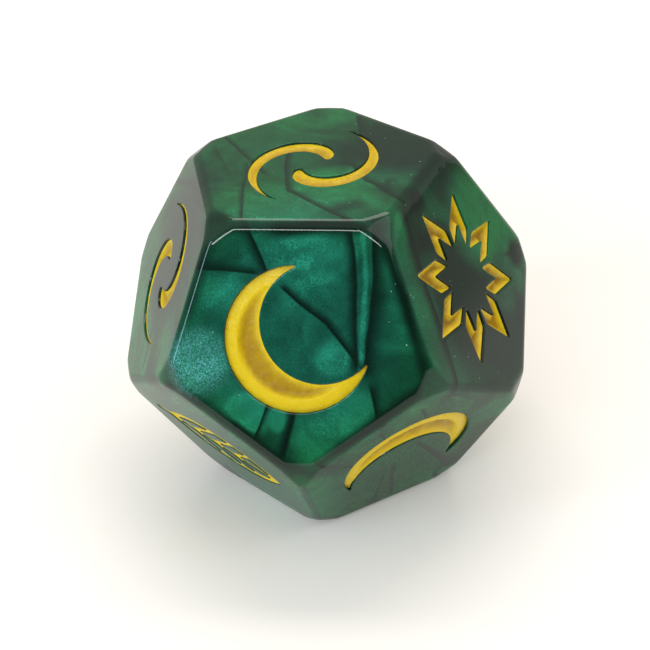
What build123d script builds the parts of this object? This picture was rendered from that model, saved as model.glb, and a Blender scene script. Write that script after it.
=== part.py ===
from build123d import *
from math import atan, cos, degrees, pi, radians, sin
import os

os.makedirs("parts", exist_ok=True)

# A twelve-sided die: one moulded resin body with a mark sunk into every face, and a thin
# fill of paint lying on the floor of each mark.  Millimetres and degrees, +Z up.  The
# origin is the centre of the die, which rests on its bottom face.

# Body
ACROSS_FLATS = 25.0
EDGE_RADIUS = 1.05
CORNER_SPHERE_RADIUS = 15.1
FACE_DISTANCE = ACROSS_FLATS / 2
RING_FACES = 5
RING_TILT = degrees(atan(0.5))
FRONT_AZIMUTH = -90.0

# Engraving and paint
ENGRAVING_DEPTH = 0.6
PAINT_THICKNESS = 0.3

# Crescent: two arcs that meet at the horns, open toward +X
CRESCENT_RADIUS = 4.9
CRESCENT_THICKNESS = 2.7
HORN_ANGLE = 52.0
HORN_RADIUS = 0.2

# Whirl: spiral arms
WHIRL_ARMS = 2
WHIRL_INNER_RADIUS = 1.2
WHIRL_OUTER_RADIUS = 5.2
WHIRL_SWEEP = 215.0
WHIRL_STROKE = 1.45
WHIRL_STATIONS = 9

# Star: separate chevrons in a ring
STAR_POINTS = 8
STAR_TIP_RADIUS = 6.0
STAR_NOTCH_RADIUS = 3.6
STAR_CREASE_RADIUS = 3.8
STAR_FOOT_RADIUS = 2.3
STAR_GAP_ANGLE = 4.0

# Leaf: a pointed oval rim with a midrib and side veins
LEAF_LENGTH = 10.6
LEAF_WIDTH = 5.4
LEAF_RIM = 0.6
LEAF_STEM = 1.1
LEAF_RIB = 0.55
LEAF_VEIN = 0.4
LEAF_VEIN_ANGLE = 42.0
LEAF_VEIN_SPACING = 1.9
LEAF_VEIN_PAIRS = 3


def face_plane(face):
    """Plane on face 0 (top), 1-5 (upper ring), 6 (bottom) or 7-11 (opposite 1-5)."""
    if face == 0:
        return Plane(origin=(0, 0, FACE_DISTANCE), x_dir=(1, 0, 0), z_dir=(0, 0, 1))
    if face == RING_FACES + 1:
        return Plane(origin=(0, 0, -FACE_DISTANCE), x_dir=(-1, 0, 0), z_dir=(0, 0, -1))
    upper = face <= RING_FACES
    step = face - 1 if upper else face - RING_FACES - 2
    azimuth = radians(FRONT_AZIMUTH + 360 / RING_FACES * step + (0 if upper else 180))
    tilt = radians(RING_TILT if upper else -RING_TILT)
    outward = Vector(cos(tilt) * cos(azimuth), cos(tilt) * sin(azimuth), sin(tilt))
    return Plane(
        origin=outward * FACE_DISTANCE,
        x_dir=(-sin(azimuth), cos(azimuth), 0),
        z_dir=outward,
    )


def turned(plane, turn):
    """The same plane with its axes turned anticlockwise in it."""
    x_dir = plane.x_dir * cos(radians(turn)) + plane.y_dir * sin(radians(turn))
    return Plane(origin=plane.origin, x_dir=x_dir, z_dir=plane.z_dir)


def polar(radius, angle):
    """Point at a radius and an angle in degrees."""
    return (radius * cos(radians(angle)), radius * sin(radians(angle)))


def crescent(plane):
    """Crescent moon, thickest in the middle of its back."""
    horn_low = polar(CRESCENT_RADIUS, -HORN_ANGLE)
    horn_high = polar(CRESCENT_RADIUS, HORN_ANGLE)
    with BuildSketch(plane) as mark:
        with BuildLine():
            ThreePointArc(horn_low, (-CRESCENT_RADIUS, 0), horn_high)
            ThreePointArc(horn_high, (CRESCENT_THICKNESS - CRESCENT_RADIUS, 0), horn_low)
        make_face()
        fillet(mark.vertices(), radius=HORN_RADIUS)
    return mark.sketch


def whirl_side(side):
    """Points along one side of a spiral arm, whose stroke swells and then tapers to nothing."""
    points = []
    for station in range(1, WHIRL_STATIONS):
        along = station / WHIRL_STATIONS
        half_stroke = WHIRL_STROKE / 2 * sin(pi * along**0.6)
        spine_radius = WHIRL_INNER_RADIUS + (WHIRL_OUTER_RADIUS - WHIRL_INNER_RADIUS) * along
        points.append(polar(spine_radius + side * half_stroke, WHIRL_SWEEP * along))
    return points


def whirl(plane):
    """Spiral arms that turn about the middle of the face."""
    inner_end = polar(WHIRL_INNER_RADIUS, 0)
    outer_end = polar(WHIRL_OUTER_RADIUS, WHIRL_SWEEP)
    with BuildSketch(plane) as mark:
        with BuildSketch(mode=Mode.PRIVATE) as arm:
            with BuildLine():
                Spline(inner_end, *whirl_side(1), outer_end)
                Spline(inner_end, *whirl_side(-1), outer_end)
            make_face()
        with PolarLocations(0, WHIRL_ARMS):
            add(arm.sketch)
    return mark.sketch


def star(plane):
    """Star of separate chevrons."""
    notch_angle = 180 / STAR_POINTS - STAR_GAP_ANGLE
    with BuildSketch(plane) as mark:
        with BuildSketch(mode=Mode.PRIVATE) as chevron:
            with BuildLine():
                Polyline(
                    polar(STAR_TIP_RADIUS, 0),
                    polar(STAR_NOTCH_RADIUS, notch_angle),
                    polar(STAR_FOOT_RADIUS, notch_angle),
                    polar(STAR_CREASE_RADIUS, 0),
                    polar(STAR_FOOT_RADIUS, -notch_angle),
                    polar(STAR_NOTCH_RADIUS, -notch_angle),
                    close=True,
                )
            make_face()
        with PolarLocations(0, STAR_POINTS, start_angle=90):
            add(chevron.sketch)
    return mark.sketch


def pointed_oval(length, width, mode):
    """Two equal arcs that meet in a point at each end."""
    with BuildSketch(mode=Mode.PRIVATE) as oval:
        with BuildLine():
            ThreePointArc((-length / 2, 0), (0, width / 2), (length / 2, 0))
            ThreePointArc((length / 2, 0), (0, -width / 2), (-length / 2, 0))
        make_face()
    add(oval.sketch, mode=mode)


def leaf(plane):
    """Leaf outline with a stem, a midrib and pairs of side veins."""
    arc_radius = (LEAF_LENGTH**2 + LEAF_WIDTH**2) / (4 * LEAF_WIDTH)
    inner_width = LEAF_WIDTH - 2 * LEAF_RIM
    inner_arc_radius = arc_radius - LEAF_RIM
    inner_length = 2 * (inner_arc_radius**2 - (inner_arc_radius - inner_width / 2) ** 2) ** 0.5
    first_vein = -LEAF_VEIN_SPACING * LEAF_VEIN_PAIRS / 2
    with BuildSketch(plane) as mark:
        with BuildSketch(mode=Mode.PRIVATE) as veins:
            for pair in range(LEAF_VEIN_PAIRS):
                with Locations((first_vein + LEAF_VEIN_SPACING * pair, 0)):
                    for side in (1, -1):
                        Rectangle(
                            LEAF_WIDTH,
                            LEAF_VEIN,
                            rotation=side * LEAF_VEIN_ANGLE,
                            align=(Align.MIN, Align.CENTER),
                        )
            pointed_oval(inner_length + LEAF_RIM, inner_width + LEAF_RIM, Mode.INTERSECT)
        pointed_oval(LEAF_LENGTH, LEAF_WIDTH, Mode.ADD)
        pointed_oval(inner_length, inner_width, Mode.SUBTRACT)
        add(veins.sketch)
        with Locations((-LEAF_LENGTH / 2 - LEAF_STEM, 0)):
            Rectangle(
                LEAF_STEM + LEAF_RIM + inner_length,
                LEAF_RIB,
                align=(Align.MIN, Align.CENTER),
            )
    return mark.sketch


# Each face's node name, the mark sunk into it, and how far the mark is turned on the face
MARKS = (
    ("whirl_paint_top", whirl, 35),
    ("crescent_paint_front", crescent, 36),
    ("star_paint_right", star, 12),
    ("leaf_paint_back_right", leaf, 35),
    ("crescent_paint_back_left", crescent, 150),
    ("whirl_paint_left", whirl, 100),
    ("star_paint_bottom", star, 0),
    ("whirl_paint_lower_back", whirl, 20),
    ("crescent_paint_lower_left", crescent, 60),
    ("leaf_paint_lower_front_left", leaf, -12),
    ("crescent_paint_lower_front_right", crescent, -92),
    ("whirl_paint_lower_right", whirl, -40),
)


# Body: a ball with twelve flats, every edge rounded, and the marks sunk into the flats
with BuildPart() as die_body:
    Sphere(CORNER_SPHERE_RADIUS)
    for face in range(len(MARKS)):
        split(bisect_by=face_plane(face), keep=Keep.BOTTOM)
    fillet(die_body.edges(), radius=EDGE_RADIUS)
    for face, (name, mark, turn) in enumerate(MARKS):
        flat = turned(face_plane(face), turn)
        extrude(mark(flat), amount=ENGRAVING_DEPTH, dir=-flat.z_dir, mode=Mode.SUBTRACT)
die_body.part.label = "die_body"
export_step(die_body.part, "parts/die_body.step")

# Paint: one fill a face, on the floor of the mark
for face, (name, mark, turn) in enumerate(MARKS):
    floor = turned(face_plane(face).offset(-ENGRAVING_DEPTH), turn)
    with BuildPart() as paint:
        extrude(mark(floor), amount=PAINT_THICKNESS, dir=floor.z_dir)
    paint.part.label = name
    export_step(paint.part, f"parts/{name}.step")
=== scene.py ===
from math import atan, atan2, ceil, cos, pi, radians, sin, tan

import bmesh
import bpy
import numpy as np
from mathutils import Matrix, Vector, geometry


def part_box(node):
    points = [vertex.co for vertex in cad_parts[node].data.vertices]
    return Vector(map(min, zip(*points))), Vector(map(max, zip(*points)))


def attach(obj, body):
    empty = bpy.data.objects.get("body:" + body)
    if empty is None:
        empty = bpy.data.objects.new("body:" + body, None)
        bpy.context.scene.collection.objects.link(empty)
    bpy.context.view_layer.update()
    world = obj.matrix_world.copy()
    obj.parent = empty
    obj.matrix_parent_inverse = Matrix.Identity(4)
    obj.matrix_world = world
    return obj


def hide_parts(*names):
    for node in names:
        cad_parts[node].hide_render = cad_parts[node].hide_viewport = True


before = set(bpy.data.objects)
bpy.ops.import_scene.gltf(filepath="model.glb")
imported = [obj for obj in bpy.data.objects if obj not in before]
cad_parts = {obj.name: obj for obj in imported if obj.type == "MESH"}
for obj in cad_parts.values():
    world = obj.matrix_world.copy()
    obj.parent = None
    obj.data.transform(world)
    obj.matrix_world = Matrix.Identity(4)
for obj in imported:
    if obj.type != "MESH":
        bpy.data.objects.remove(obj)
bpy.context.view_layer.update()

# A twelve-sided die in dark pearl resin, with a yellow mark in every face.  Shapes are worked
# out in millimetres and written to the meshes in metres.
MM = 0.001

# Body, as in the CAD model
FACE_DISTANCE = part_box("die_body")[1].z / MM
EDGE_RADIUS = 1.05
CORNER_SPHERE_RADIUS = 15.1
RING_FACES = 5
RING_TILT = atan(0.5)
FRONT_AZIMUTH = radians(-90)
NEIGHBOUR_ANGLE = 2 * atan((5**0.5 - 1) / 2)
SECTOR_HALF_ANGLE = radians(36)
CORE_TURNS = 60
REACH_TURNS = 12
REACH_START = 1.4
SKIRT_ROWS = 9
EDGE_COLUMNS = 9
CORNER_COLUMNS = 7

# Engraving, as in the CAD model, with the soft rim and the draft of a moulded mark
ENGRAVING_DEPTH = 0.6
RIM_RADIUS = 0.09
RIM_STEPS = 4
RIM_END_ANGLE = 78
RIM_MARGIN = 0.08
OFFSET_STEPS = 10
OFFSET_CLEARANCE = 0.96
OFFSET_SPREAD = (-2, -1, 0, 1, 2)
WALL_DRAFT = 0.045
WALL_OVERLAP = 0.012
OUTLINE_STEP = 0.11
FEWEST_ARC_STEPS = 12
FEWEST_LINE_STEPS = 4
FEWEST_LOOP_POINTS = 16
CORNER_CURVE_POINTS = 9
CORNER_CUT = 0.2
FLAT_GRID = 0.9
PAINT_GRID = 0.13
MERGE_DISTANCE = 0.002 * MM
SHARP_ANGLE = radians(50)
NORMAL_WEIGHT = 50

# Marks, as in the CAD model
CRESCENT_RADIUS = 4.9
CRESCENT_THICKNESS = 2.7
HORN_ANGLE = radians(52)
HORN_CUT = 0.6
WHIRL_ARMS = 2
WHIRL_SWELL = 0.6
WHIRL_INNER_RADIUS = 1.2
WHIRL_OUTER_RADIUS = 5.2
WHIRL_SWEEP = radians(215)
WHIRL_STROKE = 1.45
WHIRL_SAMPLES = 160
STAR_POINTS = 8
STAR_TIP_RADIUS = 6.0
STAR_NOTCH_RADIUS = 3.6
STAR_CREASE_RADIUS = 3.8
STAR_FOOT_RADIUS = 2.3
STAR_GAP_ANGLE = radians(4)
LEAF_LENGTH = 10.6
LEAF_WIDTH = 5.4
LEAF_RIM = 0.6
LEAF_STEM = 1.1
LEAF_RIB = 0.55
LEAF_VEIN = 0.4
LEAF_VEIN_ANGLE = radians(42)
LEAF_VEIN_SPACING = 1.9
LEAF_VEIN_PAIRS = 3

# Surface of the paint: depth below the flat at the walls, how much deeper it gets, and the
# distance from the walls over which it does
DISHED = (0.15, 0.27, 0.24)
BRIMMING = (0.07, 0.13, 0.2)
GROOVE_START = 0.13
GROOVE_SLOPE = 0.8
GROOVE_DEPTH = 0.4
RIM_SLOPE_WIDTH = 0.85
RIM_START = 0.24
RIM_CLIMB = 0.16
HOLLOW_DEPTH = 0.36
HOLLOW_ONSET = 0.5
HOLLOW_FADE = 0.3

# Floor and room, as linear colours.  The floor darkens far from the die, as painted shade, and
# glows a little all over, as painted light that lifts the shadow round the die
FLOOR_SIZE = 6.0
FLOOR_COLOUR = (0.84, 0.83, 0.80, 1)
FLOOR_FAR_SHADE = (0.46, 0.45, 0.43, 1)
FLOOR_SHADE_FADE = (110, 230)
FLOOR_GLOW = 0.15
ROOM_FRONT = (0.03, 0.03, 0.03, 1)
ROOM_BACK = (0.68, 0.65, 0.61, 1)
ROOM_FADE = (-0.1, 0.5)

# Soft boxes: name, azimuth, elevation, distance, size, power and, unless white, colour
LAMPS = (
    ("key_box", 180, 66, 900, (900, 300), 4.0, (1.0, 0.90, 0.85)),
    ("front_strip", -18, 35, 420, (300, 46), 0.6),
    ("left_strip", -58, 20, 420, (50, 300), 0.5, (0.62, 0.82, 1.0)),
    ("right_box", 72, 46, 420, (280, 280), 0.3),
)

# Resin and paint, as linear colours
RESIN_BLACK = (0.003, 0.012, 0.008, 1)
RESIN_GREEN = (0.013, 0.19, 0.060, 1)
RESIN_TEAL = (0.014, 0.19, 0.122, 1)
# Colour of a painted highlight: pearly flakes lit in a patch on the front face
PEARL_GLINT_COLOUR = (0.10, 0.36, 0.37, 1)
SPECK_COLOUR = (0.25, 0.40, 0.32, 1)
SCUFF_COLOUR = (0.34, 0.22, 0.18, 1)
FLAKE_EDGE = (0.10, 0.45, 0.30, 1)
PAINT_YELLOW = (0.80, 0.58, 0.004, 1)
# Painted shade: amber where the paint lies deep
PAINT_SHADE_AMBER = (0.36, 0.195, 0.002, 1)

# Noises, as pairs of scale and detail.  Their values lie between 0 and 1, round the middle.
NOISE_MIDDLE = 0.5
BANDS = (0.16, 2.0)
CREASES = (0.09, 0.0)
MOTTLE = (0.7, 1.0)
HUES = (0.1, 1.0)
SCRATCHES = (4.0, 3.0)
WAVES = (0.3, 1.0)
PAINT_PATCHES = (1.6, 3.0)
PAINT_GRAIN = (1.6, 4.0)

# Ramps: two values that come in and, unless they are 0 and 1, the two that they turn into
BANDS_TO_LIGHT = (0.36, 0.62)
BANDS_TO_ROUGHNESS = (0.3, 0.7, 0.5, 0.36)
CREASE_RISE = (-0.01, 0.0)
CREASE_FALL = (0.0, 0.05, 1.0, 0.0)
MOTTLE_TO_LIGHT = (0.25, 0.75, 0.8, 1.2)
DEPTH_TO_PAINTED_SHADE = (0.0, 0.12, 1.0, 0.5)
HUES_TO_TEAL = (0.4, 0.6, 0.0, 0.3)
FLAKES_TO_SPARKLE = (0.0, 1.0, 0.8, 1.2)
FLAKES_TO_GLINT = (0.0, 1.3)
FLAKES_TO_SPECKS = (0.9996, 0.9998)
NOISE_TO_SCRATCHES = (0.46, 0.56)
LIGHT_TO_METALLIC = (0.0, 1.0, 0.1, 0.5)
PAINT_DEPTH_TO_SHADE = (0.2, 0.9)
PATCHES_TO_ROUGHNESS = (0.3, 0.7, 0.3, 0.48)

# Flakes, waves and grain, with lengths in millimetres
FLAKES_PER_MM = 15.0
FLAKE_DRIFT = (3.0, 0.2)
FLAKE_TILT = 0.3
WAVE_HEIGHT = 1.2
WAVE_STRENGTH = 0.5
GRAIN_HEIGHT = 0.12

# How much the paint's patches shift the depth that sets its painted shade, as a share of the recess
PATCH_DEPTH = 0.35

# Lightness of the creases, and of the painted shade along the front face's border, from 0, black,
# to 1
CREASE_LIGHT = 0.06
BORDER_SHADE_LEVEL = 0.03

# How far places in the resin are moved about, as pairs of noise scale and reach: widely for the
# swirls, and a little for the zones and folds
SWIRLS = ((0.07, 9.0), (0.3, 1.6))
NUDGES = ((0.18, 0.8), (0.6, 0.14))

# Single zones: face, centre on the face in millimetres, radius
FRONT_FACE = 1
# Teal over the front face, as a painted sheen
TEAL_SHEEN_ZONE = (FRONT_FACE, (0, 1), 9.5)
# Painted highlight: pale pearly flakes low on the left of the front face
GLINT_ZONE = (FRONT_FACE, (-6.9, -1.6), 2.5)
SCUFF_ZONE = (2, (-4.0, -8.1), 0.9)

# Painted shade along the border of the front face: where it starts and is full, from the middle of
# the face, and how far it goes down the rounded edge
BORDER_SHADE_REACH = (6.6, 7.35)
BORDER_SHADE_DEPTH = 0.35

# Where zones and folds fade, as shares of a zone's radius, past a fold's ends and below the flat
ZONE_FADE = (0.45, 1.15)
FOLD_ENDS = (-0.7, 0.3)
FOLD_FLOOR = (-1.6, -0.9)

# Zones of lightness near the surface, partly the resin's own swirls and partly painted sheen and
# shade, some over a whole face: face, centre on the face in millimetres, radius, lightness
SWIRL_SHEEN_AND_SHADE_ZONES = (
    (1, (0.0, 0.0), 9.5, 0.45),
    (1, (-6.8, -1.6), 2.4, 1.1),
    (1, (-4.8, 2.8), 1.6, 0.85),
    (1, (-5.4, 6.0), 2.3, 0.32),
    (1, (0.4, 5.4), 3.2, 0.85),
    (1, (1.6, 0.2), 1.8, 0.5),
    (1, (2.4, -1.2), 1.5, 1.0),
    (1, (6.4, 2.6), 2.4, 0.25),
    (1, (6.8, -2.4), 2.4, 0.3),
    (1, (-5.0, -3.9), 1.8, 0.6),
    (1, (-3.6, -5.3), 1.6, 2.3),
    (1, (-1.5, -5.4), 0.9, 1.3),
    (1, (3.8, -4.9), 1.9, 1.15),
    (1, (1.2, -6.8), 2.0, 0.85),
    (0, (-4.0, 1.0), 6.5, 0.42),
    (0, (-6.4, -4.6), 2.4, 0.7),
    (0, (6.0, 3.0), 6.0, 0.06),
    (0, (1.4, -3.2), 2.8, 0.85),
    (0, (4.4, -7.4), 2.2, 0.45),
    (2, (-0.5, -1.5), 8.0, 0.03),
    (2, (-7.2, 1.5), 2.6, 0.6),
    (2, (-6.4, 4.8), 2.2, 0.55),
    (2, (-8.4, -3.6), 2.0, 0.5),
    (2, (4.6, 2.2), 4.2, 0.85),
    (2, (3.2, -3.2), 2.0, 0.25),
    (2, (7.0, -2.2), 1.3, 0.0),
    (2, (0.0, -6.6), 3.0, 0.05),
    (5, (0.5, 2.0), 7.5, 0.06),
    (5, (-5.6, -1.8), 2.6, 0.5),
    (5, (0.0, -6.2), 3.0, 0.5),
    (10, (0.0, 0.0), 8.0, 0.34),
    (9, (0.0, 0.0), 8.0, 0.4),
)

# Dark or light folds in the resin: face, start, end, width to the right of the way from start
# to end and to its left, lightness
FOLDS = (
    (1, (-1.9, 4.4), (-3.2, 7.6), 0.14, 0.9, 0.02),
    (1, (-2.7, 4.3), (-6.6, 4.4), 0.8, 0.12, 0.04),
    (1, (-0.9, 3.5), (2.0, 1.2), 0.16, 0.7, 0.01),
    (1, (2.0, 1.2), (4.4, -1.8), 0.16, 0.7, 0.01),
    (1, (4.1, -1.8), (3.5, 7.6), 0.16, 0.75, 0.02),
    (1, (4.3, 7.0), (4.35, -1.2), 0.26, 0.26, 1.1),
    (1, (4.6, -2.2), (4.95, 7.6), 1.3, 0.16, 0.02),
    (1, (-3.2, -6.9), (-1.9, -3.9), 0.6, 0.12, 0.02),
    (1, (-1.4, -8.2), (0.0, -4.3), 0.3, 0.8, 0.0),
    (1, (5.0, -3.2), (5.5, -5.6), 0.12, 0.9, 0.02),
    (0, (-7.2, 4.0), (-3.0, -1.4), 0.16, 0.5, 0.12),
    (0, (-7.4, 2.4), (-5.6, -1.6), 0.5, 0.14, 0.2),
    (0, (-4.6, 0.0), (-3.6, -7.2), 0.45, 0.14, 0.12),
    (0, (-2.2, 2.4), (-1.2, -3.6), 0.14, 0.6, 0.08),
    (0, (-1.2, -3.6), (3.4, -7.6), 0.14, 0.6, 0.08),
    (0, (2.2, 7.0), (3.4, 0.6), 0.2, 1.0, 0.05),
    (2, (-2.9, 7.2), (-6.9, -4.8), 0.9, 0.1, 0.0),
    (10, (0.4, 1.2), (2.9, -2.3), 0.16, 0.5, 0.0),
    (10, (2.9, -2.3), (4.8, -5.6), 0.16, 0.6, 0.0),
    (10, (-1.1, -1.0), (-0.1, -6.6), 0.14, 0.4, 0.02),
    (10, (-1.5, -2.3), (-1.5, -6.5), 0.3, 0.14, 0.08),
    (10, (-7.6, 3.9), (-4.4, 1.3), 0.16, 0.5, 0.02),
    (10, (-3.2, 5.6), (-2.4, 3.5), 0.14, 0.35, 0.05),
    (10, (-0.3, 6.8), (0.5, 4.6), 0.14, 0.35, 0.05),
    (5, (-5.8, 4.4), (-2.0, 6.6), 0.6, 0.14, 0.0),
    (5, (-2.0, 6.6), (3.0, 6.9), 0.6, 0.14, 0.0),
    (5, (1.0, -1.0), (3.5, -5.8), 0.14, 0.5, 0.0),
)


# ---------------------------------------------------------------- outlines of the marks
# Every outline runs with the mark on its left and the resin on its right.

def polar(radius, angle):
    return np.array((radius * cos(angle), radius * sin(angle)))


def rotation(angle):
    return np.array(((cos(angle), -sin(angle)), (sin(angle), cos(angle))))


def arc(centre, radius, start, end):
    """Points along an arc from one angle to another, both included."""
    count = max(FEWEST_ARC_STEPS, ceil(abs(end - start) * radius / OUTLINE_STEP))
    angles = np.linspace(start, end, count + 1)
    return np.array(centre) + radius * np.stack((np.cos(angles), np.sin(angles)), axis=1)


def line(start, end):
    """Points along a straight line, both ends included."""
    start, end = np.array(start, float), np.array(end, float)
    count = max(FEWEST_LINE_STEPS, ceil(np.linalg.norm(end - start) / OUTLINE_STEP))
    return start + np.linspace(0, 1, count + 1)[:, None] * (end - start)


def resampled(points):
    """The same closed outline with evenly spaced points."""
    closed = np.vstack((points, points[:1]))
    along = np.concatenate(([0], np.cumsum(np.linalg.norm(np.diff(closed, axis=0), axis=1))))
    count = max(FEWEST_LOOP_POINTS, ceil(along[-1] / OUTLINE_STEP))
    stations = np.arange(count) * along[-1] / count
    return np.stack([np.interp(stations, along, closed[:, axis]) for axis in (0, 1)], axis=1)


def outline(*runs, cut=CORNER_CUT):
    """Closed outline of several runs, with the corner where two runs meet rounded off."""
    trimmed = []
    for run in runs:
        from_start = np.linalg.norm(run - run[0], axis=1)
        from_end = np.linalg.norm(run - run[-1], axis=1)
        trimmed.append(run[(from_start > cut) & (from_end > cut)])
    points = []
    for place, run in enumerate(runs):
        corner = run[-1]
        following = trimmed[(place + 1) % len(runs)]
        before = corner + unit(trimmed[place][-1] - corner) * cut
        after = corner + unit(following[0] - corner) * cut
        steps = np.linspace(0, 1, CORNER_CURVE_POINTS)[:, None]
        curve = (1 - steps) ** 2 * before + 2 * steps * (1 - steps) * corner + steps**2 * after
        points.extend((trimmed[place], curve))
    return resampled(np.vstack(points))


def unit(vector):
    return vector / np.linalg.norm(vector)


def crescent_outlines():
    """Crescent moon, open toward +x."""
    horn = polar(CRESCENT_RADIUS, HORN_ANGLE)
    back = CRESCENT_THICKNESS - CRESCENT_RADIUS
    centre = (horn @ horn - back**2) / (2 * (horn[0] - back))
    inner_horn = atan2(horn[1], horn[0] - centre)
    outer = arc((0, 0), CRESCENT_RADIUS, HORN_ANGLE, 2 * pi - HORN_ANGLE)
    inner = arc((centre, 0), centre - back, 2 * pi - inner_horn, inner_horn)
    return [outline(outer, inner, cut=HORN_CUT)]


def whirl_outlines():
    """Spiral arms, whose stroke swells and then tapers to nothing."""
    along = np.linspace(0, 1, WHIRL_SAMPLES)
    angles = WHIRL_SWEEP * along
    half_stroke = WHIRL_STROKE / 2 * np.sin(pi * along**WHIRL_SWELL)
    spine = WHIRL_INNER_RADIUS + (WHIRL_OUTER_RADIUS - WHIRL_INNER_RADIUS) * along
    sides = []
    for side in (1, -1):
        radius = spine + side * half_stroke
        sides.append(np.stack((radius * np.cos(angles), radius * np.sin(angles)), axis=1))
    arm = resampled(np.vstack((sides[0], sides[1][-2:0:-1])))
    return [arm @ rotation(2 * pi / WHIRL_ARMS * turn).T for turn in range(WHIRL_ARMS)]


def star_outlines():
    """Separate chevrons in a ring."""
    notch = pi / STAR_POINTS - STAR_GAP_ANGLE
    corners = [
        polar(STAR_TIP_RADIUS, 0),
        polar(STAR_NOTCH_RADIUS, notch),
        polar(STAR_FOOT_RADIUS, notch),
        polar(STAR_CREASE_RADIUS, 0),
        polar(STAR_FOOT_RADIUS, -notch),
        polar(STAR_NOTCH_RADIUS, -notch),
    ]
    chevron = outline(*[line(a, b) for a, b in zip(corners, corners[1:] + corners[:1])])
    turns = [pi / 2 + 2 * pi / STAR_POINTS * point for point in range(STAR_POINTS)]
    return [chevron @ rotation(turn).T for turn in turns]


def meet_circle(start, direction, centre, radius):
    """Where a line that starts inside a circle leaves it."""
    offset = start - centre
    half = offset @ direction
    return start + direction * (-half + (half**2 - offset @ offset + radius**2) ** 0.5)


def leaf_outlines():
    """Leaf rim with its stem, and the resin cells between the midrib, side veins and rim."""
    arc_radius = (LEAF_LENGTH**2 + LEAF_WIDTH**2) / (4 * LEAF_WIDTH)
    drop = arc_radius - LEAF_WIDTH / 2
    centre = np.array((0, -drop))
    inner_radius = arc_radius - LEAF_RIM
    rib = LEAF_RIB / 2
    stem_joint = (arc_radius**2 - (drop + rib) ** 2) ** 0.5
    stem_end = -LEAF_LENGTH / 2 - LEAF_STEM
    upper = arc(centre, arc_radius, atan2(drop, LEAF_LENGTH / 2), atan2(drop + rib, -stem_joint))
    lower = (upper * (1, -1))[::-1]
    rim = outline(
        upper,
        line(upper[-1], (stem_end, rib)),
        line((stem_end, rib), (stem_end, -rib)),
        line((stem_end, -rib), lower[0]),
        lower,
    )
    direction = polar(1, LEAF_VEIN_ANGLE)
    across = polar(1, LEAF_VEIN_ANGLE + pi / 2)
    cell_end = (inner_radius**2 - (drop + rib) ** 2) ** 0.5
    feet = [np.array((-cell_end, rib))]
    heads = [feet[0]]
    for pair in range(LEAF_VEIN_PAIRS):
        root = np.array((LEAF_VEIN_SPACING * (pair - LEAF_VEIN_PAIRS / 2), 0))
        for side in (1, -1):
            start = root + across * side * LEAF_VEIN / 2
            feet.append(start + direction * (rib - start[1]) / direction[1])
            heads.append(meet_circle(feet[-1], direction, centre, inner_radius))
    feet.append(np.array((cell_end, rib)))
    heads.append(feet[-1])
    outlines = [rim]
    for left in range(0, len(feet), 2):
        right = left + 1
        start, end = [atan2(*(heads[side] - centre)[::-1]) for side in (right, left)]
        runs = [line(feet[left], feet[right])]
        if right < len(feet) - 1:
            runs.append(line(feet[right], heads[right]))
        runs.append(arc(centre, inner_radius, start, end))
        if left > 0:
            runs.append(line(heads[left], feet[left]))
        cell = outline(*runs)
        outlines.extend((cell[::-1], cell * (1, -1)))
    return outlines


# ---------------------------------------------------------------- flat geometry

def outline_normals(points):
    """Unit normals of a closed outline, pointing into the resin on its right."""
    along = np.roll(points, -1, axis=0) - np.roll(points, 1, axis=0)
    normals = np.stack((along[:, 1], -along[:, 0]), axis=1)
    return normals / np.linalg.norm(normals, axis=1)[:, None]


def distance(points, outlines):
    """Distance from each point to the nearest outline."""
    nearest = np.full(len(points), np.inf)
    for loop in outlines:
        run = np.roll(loop, -1, axis=0) - loop
        offset = points[:, None] - loop[None]
        share = np.clip((offset * run).sum(2) / (run * run).sum(1), 0, 1)
        gap = np.linalg.norm(offset - share[..., None] * run, axis=2)
        nearest = np.minimum(nearest, gap.min(1))
    return nearest


def enclosed(points, outlines):
    """Whether each point is inside an odd number of the outlines."""
    inside = np.zeros(len(points), bool)
    x, y = points[:, :1], points[:, 1:]
    for loop in outlines:
        start, end = loop, np.roll(loop, -1, axis=0)
        crosses = (start[:, 1] > y) != (end[:, 1] > y)
        rise = np.where(end[:, 1] == start[:, 1], 1, end[:, 1] - start[:, 1])
        at = start[:, 0] + (y - start[:, 1]) / rise * (end[:, 0] - start[:, 0])
        inside ^= (crosses & (x < at)).sum(1) % 2 == 1
    return inside


def offset_room(loop, outlines, side):
    """How far each point can move along its normal, up to the rim's width, in steps."""
    normals = outline_normals(loop)
    room = np.zeros(len(loop))
    clear = np.ones(len(loop), bool)
    for reach in np.linspace(1 / OFFSET_STEPS, 1, OFFSET_STEPS) * (RIM_RADIUS + RIM_MARGIN):
        moved = loop + side * reach * normals
        clear &= distance(moved, outlines) > OFFSET_CLEARANCE * reach
        room[clear] = reach
    room = np.minimum.reduce([np.roll(room, shift) for shift in OFFSET_SPREAD])
    return sum(np.roll(room, shift) for shift in OFFSET_SPREAD) / len(OFFSET_SPREAD)


def hexagonal_grid(outlines, spacing):
    """Points on a hexagonal grid inside the outlines and clear of them."""
    low = np.min([loop.min(0) for loop in outlines], axis=0)
    high = np.max([loop.max(0) for loop in outlines], axis=0)
    rows = np.arange(low[1], high[1], spacing * 3**0.5 / 2)
    columns = np.arange(low[0], high[0], spacing)
    grid = [(x + spacing / 2 * (row % 2), y) for row, y in enumerate(rows) for x in columns]
    grid = np.array(grid).reshape(-1, 2)
    grid = grid[enclosed(grid, outlines)]
    return grid[distance(grid, outlines) > spacing * 0.5]


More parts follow.
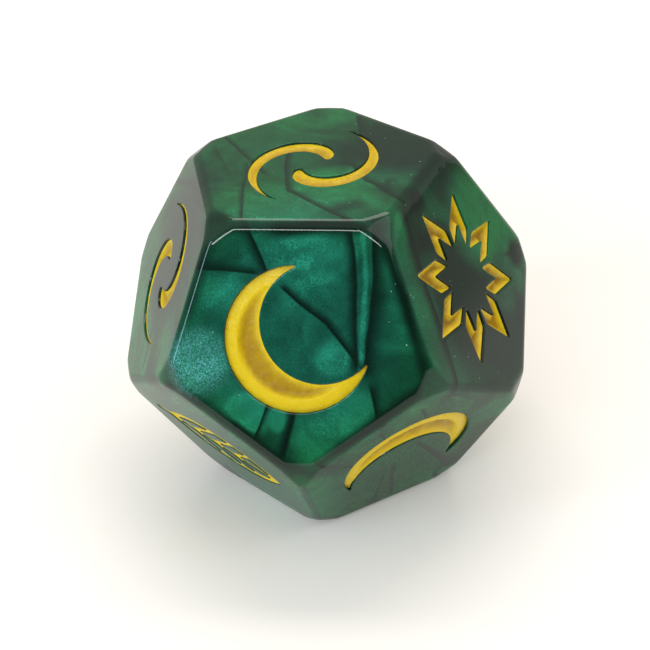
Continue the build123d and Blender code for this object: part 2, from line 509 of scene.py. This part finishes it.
class Shell:
    """Points and faces of a mesh in a face's own axes: x, y across the face and z out of it."""

    def __init__(self):
        self.points = []
        self.faces = []

    def add(self, flat, heights):
        """Adds points and returns their numbers."""
        first = len(self.points)
        heights = np.broadcast_to(heights, len(flat))
        self.points.extend(np.column_stack((flat, heights)))
        return list(range(first, len(self.points)))

    def strip(self, right, left):
        """Joins two closed rows of points, the first on the right of the way they run."""
        for at, following in zip(range(len(right)), list(range(1, len(right))) + [0]):
            self.faces.append((right[at], right[following], left[following], left[at]))

    def fill(self, outlines, height, spacing, flip=False):
        """Triangles inside closed outlines, with more points on a grid."""
        outlines = [np.float32(loop).astype(float) for loop in outlines]
        loose = hexagonal_grid(outlines, spacing)
        edges = []
        count = 0
        for loop in outlines:
            edges.extend((count + at, count + (at + 1) % len(loop)) for at in range(len(loop)))
            count += len(loop)
        corners = [Vector(point) for point in np.vstack(outlines + [loose])]
        made = geometry.delaunay_2d_cdt(corners, edges, [], 0, 1e-6)
        flat = np.array([point[:] for point in made[0]])
        triangles = np.array([face[:] for face in made[2]])
        triangles = triangles[enclosed(flat[triangles].mean(1), outlines)]
        numbers = np.array(self.add(flat, height(flat)))
        for triangle in numbers[triangles]:
            self.faces.append(tuple(triangle[::-1] if flip else triangle))

    def copy_from(self, other):
        first = len(self.points)
        self.points.extend(other.points)
        self.faces.extend(tuple(first + corner for corner in face) for face in other.faces)


# ---------------------------------------------------------------- rounded body

def outward(face):
    """Outward direction of face 0 (top), 1-5 (upper ring), 6 (bottom) or 7-11 (opposite 1-5)."""
    if face > RING_FACES:
        return -outward(face - RING_FACES - 1)
    if face == 0:
        return np.array((0, 0, 1.0))
    azimuth = FRONT_AZIMUTH + 2 * pi / RING_FACES * (face - 1)
    return np.array((cos(RING_TILT) * cos(azimuth), cos(RING_TILT) * sin(azimuth), sin(RING_TILT)))


FACES = 2 * (RING_FACES + 1)
OUTWARD = [outward(face) for face in range(FACES)]


def face_axes(face, turn):
    """The x, y and z directions of a face's mark, turned anticlockwise on the face."""
    out = OUTWARD[face]
    if face % (RING_FACES + 1) == 0:
        across = np.array((out[2], 0, 0))
    else:
        across = unit(np.array((-out[1], out[0], 0)))
    up = np.cross(out, across)
    return (
        across * cos(turn) + up * sin(turn),
        up * cos(turn) - across * sin(turn),
        out,
    )


def core_point(points):
    """Nearest point of the body's core, the flats and the corner ball moved in by the edge radius.
    In a face's own axes, where the nearest neighbours lean toward angles 0 and 72 degrees."""
    lean = NEIGHBOUR_ANGLE
    walls = [(0, 0, 1)] + [
        (sin(lean) * cos(at), sin(lean) * sin(at), cos(lean)) for at in (0, 2 * SECTOR_HALF_ANGLE)
    ]
    ball = CORNER_SPHERE_RADIUS - EDGE_RADIUS
    place = points.copy()
    carried = [np.zeros_like(points) for wall in range(len(walls) + 1)]
    for turn in range(CORE_TURNS):
        for number in range(len(walls) + 1):
            pushed = place + carried[number]
            if number < len(walls):
                wall = np.array(walls[number])
                over = np.maximum(pushed @ wall - (FACE_DISTANCE - EDGE_RADIUS), 0)
                place = pushed - over[:, None] * wall
            else:
                length = np.linalg.norm(pushed, axis=1)
                place = pushed * np.minimum(1, ball / length)[:, None]
            carried[number] = pushed - place
    return place


def body_reach(directions):
    """Distance from the centre to the rounded surface along unit directions."""
    reach = np.full(len(directions), FACE_DISTANCE * REACH_START)
    for turn in range(REACH_TURNS):
        points = directions * reach[:, None]
        out = points - core_point(points)
        gap = np.linalg.norm(out, axis=1)
        reach -= (gap - EDGE_RADIUS) / ((out * directions).sum(1) / gap)
    return reach


def skirt_profile():
    """Rows of points from the edge of a flat to the border with the next face, for the angles
    from the middle of an edge to a corner.  Returns the angles and (across, height) rows."""
    border = FACE_DISTANCE * tan(NEIGHBOUR_ANGLE / 2)
    flat_edge = border - EDGE_RADIUS * tan(NEIGHBOUR_ANGLE / 2)
    core = (CORNER_SPHERE_RADIUS - EDGE_RADIUS) ** 2 - (FACE_DISTANCE - EDGE_RADIUS) ** 2
    flat_corner = core**0.5
    meeting = np.arccos(flat_edge / flat_corner)
    edge_angles = np.arctan(np.linspace(0, tan(meeting), EDGE_COLUMNS + 1))
    corner_angles = np.linspace(meeting, SECTOR_HALF_ANGLE, CORNER_COLUMNS + 1)[1:]
    angles = np.concatenate((edge_angles, corner_angles))
    start = np.minimum(flat_edge / np.cos(angles), flat_corner)
    end = border / np.cos(angles)
    rows = []
    for share in np.linspace(0, 1, SKIRT_ROWS + 1):
        aim = start + (end - start) * share
        height = np.full(len(aim), FACE_DISTANCE)
        rays = np.stack((aim * np.cos(angles), aim * np.sin(angles), height), axis=1)
        length = np.linalg.norm(rays, axis=1)
        scale = body_reach(rays / length[:, None]) / length
        rows.append((aim * scale, FACE_DISTANCE * (scale - 1)))
    return angles, rows


def body_border(shell, profile, edge_angle):
    """Adds the rounded border round a flat and returns the flat's own outline."""
    angles, rows = profile
    last = len(angles) - 1
    columns = []
    for side in range(RING_FACES):
        middle = edge_angle + 2 * SECTOR_HALF_ANGLE * side
        columns.extend((middle - angles[column], column) for column in range(last, 0, -1))
        columns.extend((middle + angles[column], column) for column in range(last))
    around = np.array([angle for angle, column in columns])
    column = [column for angle, column in columns]
    numbers = []
    for across, height in rows:
        flat = across[column, None] * np.stack((np.cos(around), np.sin(around)), axis=1)
        numbers.append(shell.add(flat, height[column]))
    for inner, outer in zip(numbers, numbers[1:]):
        shell.strip(outer, inner)
    return np.array(shell.points)[numbers[0], :2]


# ---------------------------------------------------------------- marks sunk in the body

def rim_rows():
    """Offsets into the resin and heights, from the flat, over the rounded rim, to the wall."""
    rows = [(RIM_RADIUS + RIM_MARGIN, 0), (RIM_RADIUS, 0)]
    for step in range(1, RIM_STEPS + 1):
        angle = radians(RIM_END_ANGLE) * step / RIM_STEPS
        rows.append((RIM_RADIUS * (1 - sin(angle)), -RIM_RADIUS * (1 - cos(angle))))
    return rows


def level(height):
    return lambda points: np.full(len(points), float(height))


def sunk_mark(outlines):
    """The recess of a mark: its rims, walls and floor.
    Returns the shell and the outlines where it meets the flat, round the mark and round its
    islands."""
    shell = Shell()
    outer_edges, bottoms = [], []
    for loop in outlines:
        normals = outline_normals(loop)
        out_share = offset_room(loop, outlines, 1) / (RIM_RADIUS + RIM_MARGIN)
        in_share = offset_room(loop, outlines, -1) / (RIM_RADIUS + RIM_MARGIN)
        rows = []
        for offset, height in rim_rows():
            flat = loop + normals * (offset * out_share)[:, None]
            rows.append(shell.add(flat, height))
            if offset > RIM_RADIUS:
                outer_edges.append(flat)
        bottom = loop - normals * (WALL_DRAFT * in_share)[:, None]
        rows.append(shell.add(bottom, -ENGRAVING_DEPTH))
        bottoms.append(bottom)
        for right, left in zip(rows, rows[1:]):
            shell.strip(right, left)
    shell.fill(bottoms, level(-ENGRAVING_DEPTH), FLAT_GRID)
    return shell, outer_edges


# ---------------------------------------------------------------- paint

def paint_fill(outlines, relief):
    """Closed solid of paint in a mark, with a worked surface."""
    shell = Shell()
    grown = [loop + outline_normals(loop) * WALL_OVERLAP for loop in outlines]

    def surface(points):
        return relief(points, distance(points, outlines))

    shell.fill(grown, surface, PAINT_GRID)
    shell.fill(grown, level(-ENGRAVING_DEPTH), FLAT_GRID, flip=True)
    for loop in grown:
        upper = shell.add(loop, surface(loop))
        lower = shell.add(loop, -ENGRAVING_DEPTH)
        shell.strip(lower, upper)
    return shell


def sagging(start, sag, fade, edge):
    """Height of a surface that sinks from its start at the walls."""
    return -start - sag * (1 - np.exp(-edge / fade))


def dished(points, edge):
    """Paint that climbs the walls of its recess a little."""
    return sagging(*DISHED, edge)


def brimming(points, edge):
    """Paint that fills its recess almost to the top."""
    return sagging(*BRIMMING, edge)


def chiselled(points, edge):
    """Paint in a groove cut with a pointed tool."""
    return -GROOVE_START - np.minimum(GROOVE_SLOPE * edge, GROOVE_DEPTH)


def crescent_relief(points, edge):
    """An outer rim that climbs to a ridge, and a hollow from there to the inner edge."""
    from_outer = CRESCENT_RADIUS - np.linalg.norm(points, axis=1)
    rim = -RIM_START + RIM_CLIMB * np.clip(from_outer / RIM_SLOPE_WIDTH, 0, 1)
    past = np.clip((from_outer - RIM_SLOPE_WIDTH) / HOLLOW_ONSET, 0, 1)
    hollow = HOLLOW_DEPTH * past * (2 - past) * (1 - np.exp(-edge / HOLLOW_FADE))
    return rim - hollow


# ---------------------------------------------------------------- objects

# Each face's paint node, its mark, and how far the mark is turned on the face, in degrees
MARKS = (
    ("whirl_paint_top", "whirl", 35),
    ("crescent_paint_front", "crescent", 36),
    ("star_paint_right", "star", 12),
    ("leaf_paint_back_right", "leaf", 35),
    ("crescent_paint_back_left", "crescent", 150),
    ("whirl_paint_left", "whirl", 100),
    ("star_paint_bottom", "star", 0),
    ("whirl_paint_lower_back", "whirl", 20),
    ("crescent_paint_lower_left", "crescent", 60),
    ("leaf_paint_lower_front_left", "leaf", -12),
    ("crescent_paint_lower_front_right", "crescent", -92),
    ("whirl_paint_lower_right", "whirl", -40),
)


def placed(shell, face, turn):
    """The shell's points in the die's frame, in metres."""
    axes = np.array(face_axes(face, radians(turn)))
    local = np.array(shell.points)
    local[:, 2] += FACE_DISTANCE
    return local @ axes * MM


def sunk_depths(shell):
    """How deep each point lies in its recess, from 0 at the flat to 1 at the floor."""
    heights = np.array(shell.points)[:, 2]
    return np.clip(-heights / ENGRAVING_DEPTH, 0, 1)


def make_object(name, points, faces, depths):
    """Object from points and faces, with doubled points joined and flats shaded flat."""
    mesh = bpy.data.meshes.new(name)
    mesh.from_pydata([tuple(point) for point in points], [], faces)
    mesh.attributes.new("depth", "FLOAT", "POINT").data.foreach_set("value", depths)
    work = bmesh.new()
    work.from_mesh(mesh)
    bmesh.ops.remove_doubles(work, verts=work.verts, dist=MERGE_DISTANCE)
    work.to_mesh(mesh)
    work.free()
    mesh.shade_smooth()
    mesh.set_sharp_from_angle(angle=SHARP_ANGLE)
    thing = bpy.data.objects.new(name, mesh)
    bpy.context.scene.collection.objects.link(thing)
    weighted = thing.modifiers.new("flat_faces_win", "WEIGHTED_NORMAL")
    weighted.mode = "FACE_AREA"
    weighted.weight = NORMAL_WEIGHT
    weighted.keep_sharp = True
    return thing


def make_die():
    """The body and the twelve paint fills."""
    designs = {
        "crescent": (crescent_outlines(), crescent_relief),
        "whirl": (whirl_outlines(), dished),
        "star": (star_outlines(), chiselled),
        "leaf": (leaf_outlines(), brimming),
    }
    sunk = {name: sunk_mark(outlines) for name, (outlines, relief) in designs.items()}
    fills = {name: paint_fill(*design) for name, design in designs.items()}
    profile = skirt_profile()
    points, faces, depths, paints = [], [], [], []
    for face, (node, design, turn) in enumerate(MARKS):
        axes = face_axes(face, radians(turn))
        others = [other for number, other in enumerate(OUTWARD) if number != face]
        neighbour = max(others, key=lambda other: other @ OUTWARD[face])
        side = Shell()
        border = body_border(side, profile, atan2(neighbour @ axes[1], neighbour @ axes[0]))
        recess, edges = sunk[design]
        side.copy_from(recess)
        side.fill([border] + edges, level(0), FLAT_GRID)
        first = len(points)
        points.extend(placed(side, face, turn))
        depths.extend(sunk_depths(side))
        faces.extend(tuple(first + corner for corner in corners) for corners in side.faces)
        fill = fills[design]
        paint = make_object(
            node + "_fill", placed(fill, face, turn), fill.faces, sunk_depths(fill)
        )
        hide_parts(node)
        paints.append(paint)
    body = make_object("resin_body", points, faces, depths)
    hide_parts("die_body")
    return body, paints


# ---------------------------------------------------------------- camera, light and floor

CAMERA_AZIMUTH = radians(10.434)
CAMERA_ELEVATION = radians(34.338)
CAMERA_ROLL = radians(4.906)
CAMERA_PAN = radians(0.083)
CAMERA_TILT = radians(-0.454)
CAMERA_DISTANCE = 108.96
CAMERA_FIELD = radians(24.75)
NEAREST = 1


def make_camera():
    """Camera above and to the right of the front, with the die a little off the middle."""
    forward = Vector((
        -sin(CAMERA_AZIMUTH) * cos(CAMERA_ELEVATION),
        cos(CAMERA_AZIMUTH) * cos(CAMERA_ELEVATION),
        -sin(CAMERA_ELEVATION),
    ))
    right = forward.cross(Vector((0, 0, 1))).normalized()
    upright = Matrix((right, right.cross(forward), -forward)).transposed()
    turned = (
        upright
        @ Matrix.Rotation(CAMERA_PAN, 3, "Y")
        @ Matrix.Rotation(CAMERA_TILT, 3, "X")
        @ Matrix.Rotation(-CAMERA_ROLL, 3, "Z")
    )
    lens = bpy.data.cameras.new("camera")
    lens.angle = CAMERA_FIELD
    lens.clip_start = NEAREST * MM
    camera = bpy.data.objects.new("camera", lens)
    camera.matrix_world = Matrix.Translation(-forward * CAMERA_DISTANCE * MM) @ turned.to_4x4()
    bpy.context.scene.collection.objects.link(camera)
    bpy.context.scene.camera = camera


def make_floor():
    """Pale floor under the die, darker far away as painted shade, with a faint glow as painted
    light.
    """
    mesh = bpy.data.meshes.new("floor")
    ground = -FACE_DISTANCE * MM
    half = FLOOR_SIZE / 2
    corners = [(x * half, y * half, ground) for x, y in ((-1, -1), (1, -1), (1, 1), (-1, 1))]
    mesh.from_pydata(corners, [], [(0, 1, 2, 3)])
    floor = bpy.data.objects.new("floor", mesh)
    bpy.context.scene.collection.objects.link(floor)
    tree, shader = new_material("pale_floor")
    reach = tree.vector("DISTANCE", tree.millimetres(), (0, 0, -FACE_DISTANCE))
    shade = tree.colour_mix(tree.ramp(reach, *FLOOR_SHADE_FADE), FLOOR_COLOUR, FLOOR_FAR_SHADE)
    tree.put(shade, shader.inputs["Base Color"])
    tree.put(shade, shader.inputs["Emission Color"])
    # Painted light: the floor glows a little, to lift the shadow round the die
    shader.inputs["Emission Strength"].default_value = FLOOR_GLOW
    shader.inputs["Roughness"].default_value = 0.9
    shader.inputs["Specular IOR Level"].default_value = 0.1
    mesh.materials.append(bpy.data.materials["pale_floor"])


def make_lamp(name, azimuth, elevation, distance, size, power, colour=(1, 1, 1)):
    """Soft box that faces the die, at an azimuth from the front, positive to the right."""
    light = bpy.data.lights.new(name, "AREA")
    light.shape = "RECTANGLE"
    light.size, light.size_y = (edge * MM for edge in size)
    light.energy = power
    light.color = colour
    lamp = bpy.data.objects.new(name, light)
    across, up = radians(azimuth), radians(elevation)
    lamp.location = Vector((sin(across) * cos(up), -cos(across) * cos(up), sin(up))) * distance * MM
    lamp.rotation_euler = (-lamp.location).to_track_quat("-Z", "Y").to_euler()
    bpy.context.scene.collection.objects.link(lamp)


def make_world():
    """Room that is dark low in front of the die and pale grey above and behind it."""
    world = bpy.data.worlds.new("studio")
    world.use_nodes = True
    tree = Tree(world.node_tree)
    direction = tree.parts(tree.node("ShaderNodeTexCoord").outputs["Generated"])
    behind = tree.ramp(tree.math("ADD", direction[1], direction[2]), *ROOM_FADE)
    shade = tree.colour_mix(behind, ROOM_FRONT, ROOM_BACK)
    background = world.node_tree.nodes["Background"]
    world.node_tree.links.new(shade, background.inputs["Color"])
    bpy.context.scene.world = world


# ---------------------------------------------------------------- materials

class Tree:
    """Short names for the shader nodes used here.  An argument is a socket or a constant."""

    def __init__(self, node_tree):
        self.tree = node_tree

    def node(self, kind, **settings):
        made = self.tree.nodes.new(kind)
        for name, value in settings.items():
            setattr(made, name, value)
        return made

    def put(self, value, socket):
        if isinstance(value, bpy.types.NodeSocket):
            self.tree.links.new(value, socket)
        else:
            socket.default_value = value

    def math(self, operation, *values):
        made = self.node("ShaderNodeMath", operation=operation)
        for value, socket in zip(values, made.inputs):
            self.put(value, socket)
        return made.outputs[0]

    def vector(self, operation, first, second):
        made = self.node("ShaderNodeVectorMath", operation=operation)
        self.put(first, made.inputs[0])
        self.put(second, made.inputs["Scale"] if operation == "SCALE" else made.inputs[1])
        return made.outputs["Value" if operation in ("DOT_PRODUCT", "DISTANCE") else "Vector"]

    def parts(self, vector):
        made = self.node("ShaderNodeSeparateXYZ")
        self.put(vector, made.inputs[0])
        return made.outputs

    def ramp(self, value, low, high, start=0.0, end=1.0):
        """Smooth step from start to end as value goes from low to high."""
        made = self.node("ShaderNodeMapRange", interpolation_type="SMOOTHSTEP")
        for number, item in enumerate((value, low, high, start, end)):
            self.put(item, made.inputs[number])
        return made.outputs[0]

    def blend(self, share, first, second):
        """Goes from the first number to the second as the share goes from 0 to 1."""
        made = self.node("ShaderNodeMix", clamp_factor=True)
        self.put(share, made.inputs[0])
        self.put(first, made.inputs[2])
        self.put(second, made.inputs[3])
        return made.outputs[0]

    def colour_mix(self, share, first, second):
        made = self.node("ShaderNodeMix", data_type="RGBA")
        self.put(share, made.inputs["Factor"])
        self.put(first, made.inputs[6])
        self.put(second, made.inputs[7])
        return made.outputs[2]

    def noise(self, place, scale, detail=1.0, colour=False):
        made = self.node("ShaderNodeTexNoise")
        self.put(place, made.inputs["Vector"])
        made.inputs["Scale"].default_value = scale
        made.inputs["Detail"].default_value = detail
        return made.outputs["Color" if colour else "Fac"]

    def drift(self, place, scale, reach, detail=1.0):
        """Moves places about by up to half the reach."""
        colour = self.noise(place, scale, detail, colour=True)
        shift = self.vector("SUBTRACT", colour, (NOISE_MIDDLE,) * 3)
        return self.vector("ADD", place, self.vector("SCALE", shift, reach))

    def millimetres(self):
        coordinates = self.node("ShaderNodeTexCoord").outputs["Object"]
        return self.vector("SCALE", coordinates, 1 / MM)


def new_material(name):
    material = bpy.data.materials.new(name)
    material.use_nodes = True
    return Tree(material.node_tree), material.node_tree.nodes["Principled BSDF"]


def on_face(face, x, y):
    """Point on a face, in millimetres, in the face's own axes before any turn."""
    across, up, out = face_axes(face, 0)
    return across * x + up * y + out * FACE_DISTANCE


def fold_mask(tree, place, face, start, end, right, left):
    """1 on a sheet that goes into a face along the line from start to end, fading to each side."""
    start, end, out = on_face(face, *start), on_face(face, *end), OUTWARD[face]
    along = unit(end - start)
    offset = tree.vector("SUBTRACT", place, tuple(start))
    aside = tree.vector("DOT_PRODUCT", offset, tuple(np.cross(out, along)))
    travel = tree.vector("DOT_PRODUCT", offset, tuple(along))
    depth = tree.vector("DOT_PRODUCT", offset, tuple(out))
    length = float(np.linalg.norm(end - start))
    mask = tree.ramp(aside, -right, 0)
    for gate in (
        tree.ramp(aside, 0, left, 1.0, 0.0),
        tree.ramp(travel, *FOLD_ENDS),
        tree.ramp(travel, length - FOLD_ENDS[1], length - FOLD_ENDS[0], 1.0, 0.0),
        tree.ramp(depth, *FOLD_FLOOR),
    ):
        mask = tree.math("MULTIPLY", mask, gate)
    return mask


def zone_mask(tree, place, face, centre, radius):
    """1 in the middle of a soft round zone on a face."""
    gap = tree.vector("DISTANCE", place, tuple(on_face(face, *centre)))
    return tree.ramp(gap, ZONE_FADE[0] * radius, ZONE_FADE[1] * radius, 1.0, 0.0)


def border_shade_mask(tree, place, face, inner, outer):
    """Climbs from 0 to 1 as the distance from the middle of a face towards a side grows."""
    across, up, out = face_axes(face, 0)
    reach = 0.0
    for side in range(RING_FACES):
        heading = pi / 2 + 2 * side * SECTOR_HALF_ANGLE
        direction = across * cos(heading) + up * sin(heading)
        reach = tree.math("MAXIMUM", tree.vector("DOT_PRODUCT", place, tuple(direction)), reach)
    over = tree.vector("DOT_PRODUCT", place, tuple(out))
    near = tree.ramp(over, FACE_DISTANCE - BORDER_SHADE_DEPTH, FACE_DISTANCE)
    return tree.math("MULTIPLY", tree.ramp(reach, inner, outer), near)


def resin_material():
    """Dark pearl resin: swirls of black and emerald, fine flakes, and a clear polished surface,
    with painted sheen and a painted highlight on the front face, and painted shade on some faces,
    on the rounded edges and in the recesses.
    """
    tree, shader = new_material("pearl_resin")
    place = tree.millimetres()
    swirled = nudged = place
    for scale, reach in SWIRLS:
        swirled = tree.drift(swirled, scale, reach)
    for scale, reach in NUDGES:
        nudged = tree.drift(nudged, scale, reach, 0.0)
    bands = tree.noise(swirled, *BANDS)
    light = tree.ramp(bands, *BANDS_TO_LIGHT)
    creases = tree.math("SUBTRACT", tree.noise(swirled, *CREASES), NOISE_MIDDLE)
    rise, fall = tree.ramp(creases, *CREASE_RISE), tree.ramp(creases, *CREASE_FALL)
    crease = tree.math("MULTIPLY", rise, fall)
    light = tree.blend(crease, light, CREASE_LIGHT)
    # Patches of lightness, partly the resin's own swirls and partly painted sheen and shade
    for face, centre, radius, level in SWIRL_SHEEN_AND_SHADE_ZONES:
        light = tree.blend(zone_mask(tree, nudged, face, centre, radius), light, level)
    for face, start, end, right, left, level in FOLDS:
        light = tree.blend(fold_mask(tree, nudged, face, start, end, right, left), light, level)
    mottle = tree.ramp(tree.noise(swirled, *MOTTLE), *MOTTLE_TO_LIGHT)
    light = tree.math("MULTIPLY", light, mottle)
    # Painted shade: the resin darkens down the rounded edges and into the recesses
    depth = tree.node("ShaderNodeAttribute", attribute_name="depth").outputs["Fac"]
    light = tree.math("MULTIPLY", light, tree.ramp(depth, *DEPTH_TO_PAINTED_SHADE))
    # Painted shade along the front face's rounded edges
    border = border_shade_mask(tree, nudged, FRONT_FACE, *BORDER_SHADE_REACH)
    light = tree.blend(border, light, BORDER_SHADE_LEVEL)
    # Teal: at random in the swirls, and over the front face as a painted sheen
    hue = tree.ramp(tree.noise(swirled, *HUES), *HUES_TO_TEAL)
    hue = tree.math("MAXIMUM", hue, zone_mask(tree, place, *TEAL_SHEEN_ZONE))
    colour = tree.colour_mix(hue, RESIN_GREEN, RESIN_TEAL)
    flakes = tree.node("ShaderNodeTexVoronoi")
    tree.put(tree.drift(place, *FLAKE_DRIFT), flakes.inputs["Vector"])
    flakes.inputs["Scale"].default_value = FLAKES_PER_MM
    flake = tree.vector("SUBTRACT", flakes.outputs["Color"], (NOISE_MIDDLE,) * 3)
    sparkle = tree.ramp(tree.parts(flakes.outputs["Color"])[0], *FLAKES_TO_SPARKLE)
    colour = tree.colour_mix(tree.math("MULTIPLY", light, sparkle), RESIN_BLACK, colour)
    # Painted highlight: pale pearly flakes in a patch on the front face
    glint = tree.ramp(tree.parts(flakes.outputs["Color"])[1], *FLAKES_TO_GLINT)
    glint = tree.math("MULTIPLY", glint, zone_mask(tree, nudged, *GLINT_ZONE))
    colour = tree.colour_mix(glint, colour, PEARL_GLINT_COLOUR)
    specks = tree.ramp(tree.parts(flakes.outputs["Color"])[2], *FLAKES_TO_SPECKS)
    colour = tree.colour_mix(specks, colour, SPECK_COLOUR)
    scratches = tree.ramp(tree.noise(place, *SCRATCHES), *NOISE_TO_SCRATCHES)
    scuff = tree.math("MULTIPLY", scratches, zone_mask(tree, nudged, *SCUFF_ZONE))
    colour = tree.colour_mix(scuff, colour, SCUFF_COLOUR)
    tree.put(colour, shader.inputs["Base Color"])
    waves = tree.node("ShaderNodeBump")
    waves.inputs["Distance"].default_value = WAVE_HEIGHT * MM
    waves.inputs["Strength"].default_value = WAVE_STRENGTH
    tree.put(tree.noise(swirled, *WAVES), waves.inputs["Height"])
    leaning = tree.vector("SCALE", flake, FLAKE_TILT)
    tilted = tree.vector("ADD", waves.outputs["Normal"], leaning)
    tree.put(tree.vector("NORMALIZE", tilted, (0, 0, 0)), shader.inputs["Normal"])
    tree.put(tree.ramp(light, *LIGHT_TO_METALLIC), shader.inputs["Metallic"])
    tree.put(tree.ramp(bands, *BANDS_TO_ROUGHNESS), shader.inputs["Roughness"])
    shader.inputs["Specular IOR Level"].default_value = 0.0
    shader.inputs["Specular Tint"].default_value = FLAKE_EDGE
    shader.inputs["Coat Weight"].default_value = 0.65
    shader.inputs["Coat Roughness"].default_value = 0.035
    shader.inputs["Coat IOR"].default_value = 1.52
    return bpy.data.materials["pearl_resin"]


def paint_material():
    """Thick yellow enamel, amber where it lies deep as painted shade, in random patches."""
    tree, shader = new_material("yellow_enamel")
    place = tree.millimetres()
    depth = tree.node("ShaderNodeAttribute", attribute_name="depth").outputs["Fac"]
    patches = tree.noise(place, *PAINT_PATCHES)
    uneven = tree.math("MULTIPLY", tree.math("SUBTRACT", patches, NOISE_MIDDLE), PATCH_DEPTH)
    deep = tree.math("ADD", depth, uneven)
    # Painted shade: amber where the paint lies deep, shifted about by random patches
    shade_share = tree.ramp(deep, *PAINT_DEPTH_TO_SHADE)
    colour = tree.colour_mix(shade_share, PAINT_YELLOW, PAINT_SHADE_AMBER)
    tree.put(colour, shader.inputs["Base Color"])
    tree.put(tree.ramp(patches, *PATCHES_TO_ROUGHNESS), shader.inputs["Roughness"])
    grain = tree.node("ShaderNodeBump")
    grain.inputs["Distance"].default_value = GRAIN_HEIGHT * MM
    tree.put(tree.noise(place, *PAINT_GRAIN), grain.inputs["Height"])
    tree.put(grain.outputs["Normal"], shader.inputs["Normal"])
    shader.inputs["Specular IOR Level"].default_value = 0.3
    return bpy.data.materials["yellow_enamel"]


make_camera()
make_world()
make_floor()
for lamp in LAMPS:
    make_lamp(*lamp)
body, paints = make_die()
body.data.materials.append(resin_material())
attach(body, "root")
enamel = paint_material()
for paint in paints:
    paint.data.materials.append(enamel)
    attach(paint, "root")

bpy.context.scene.view_settings.view_transform = "Standard"
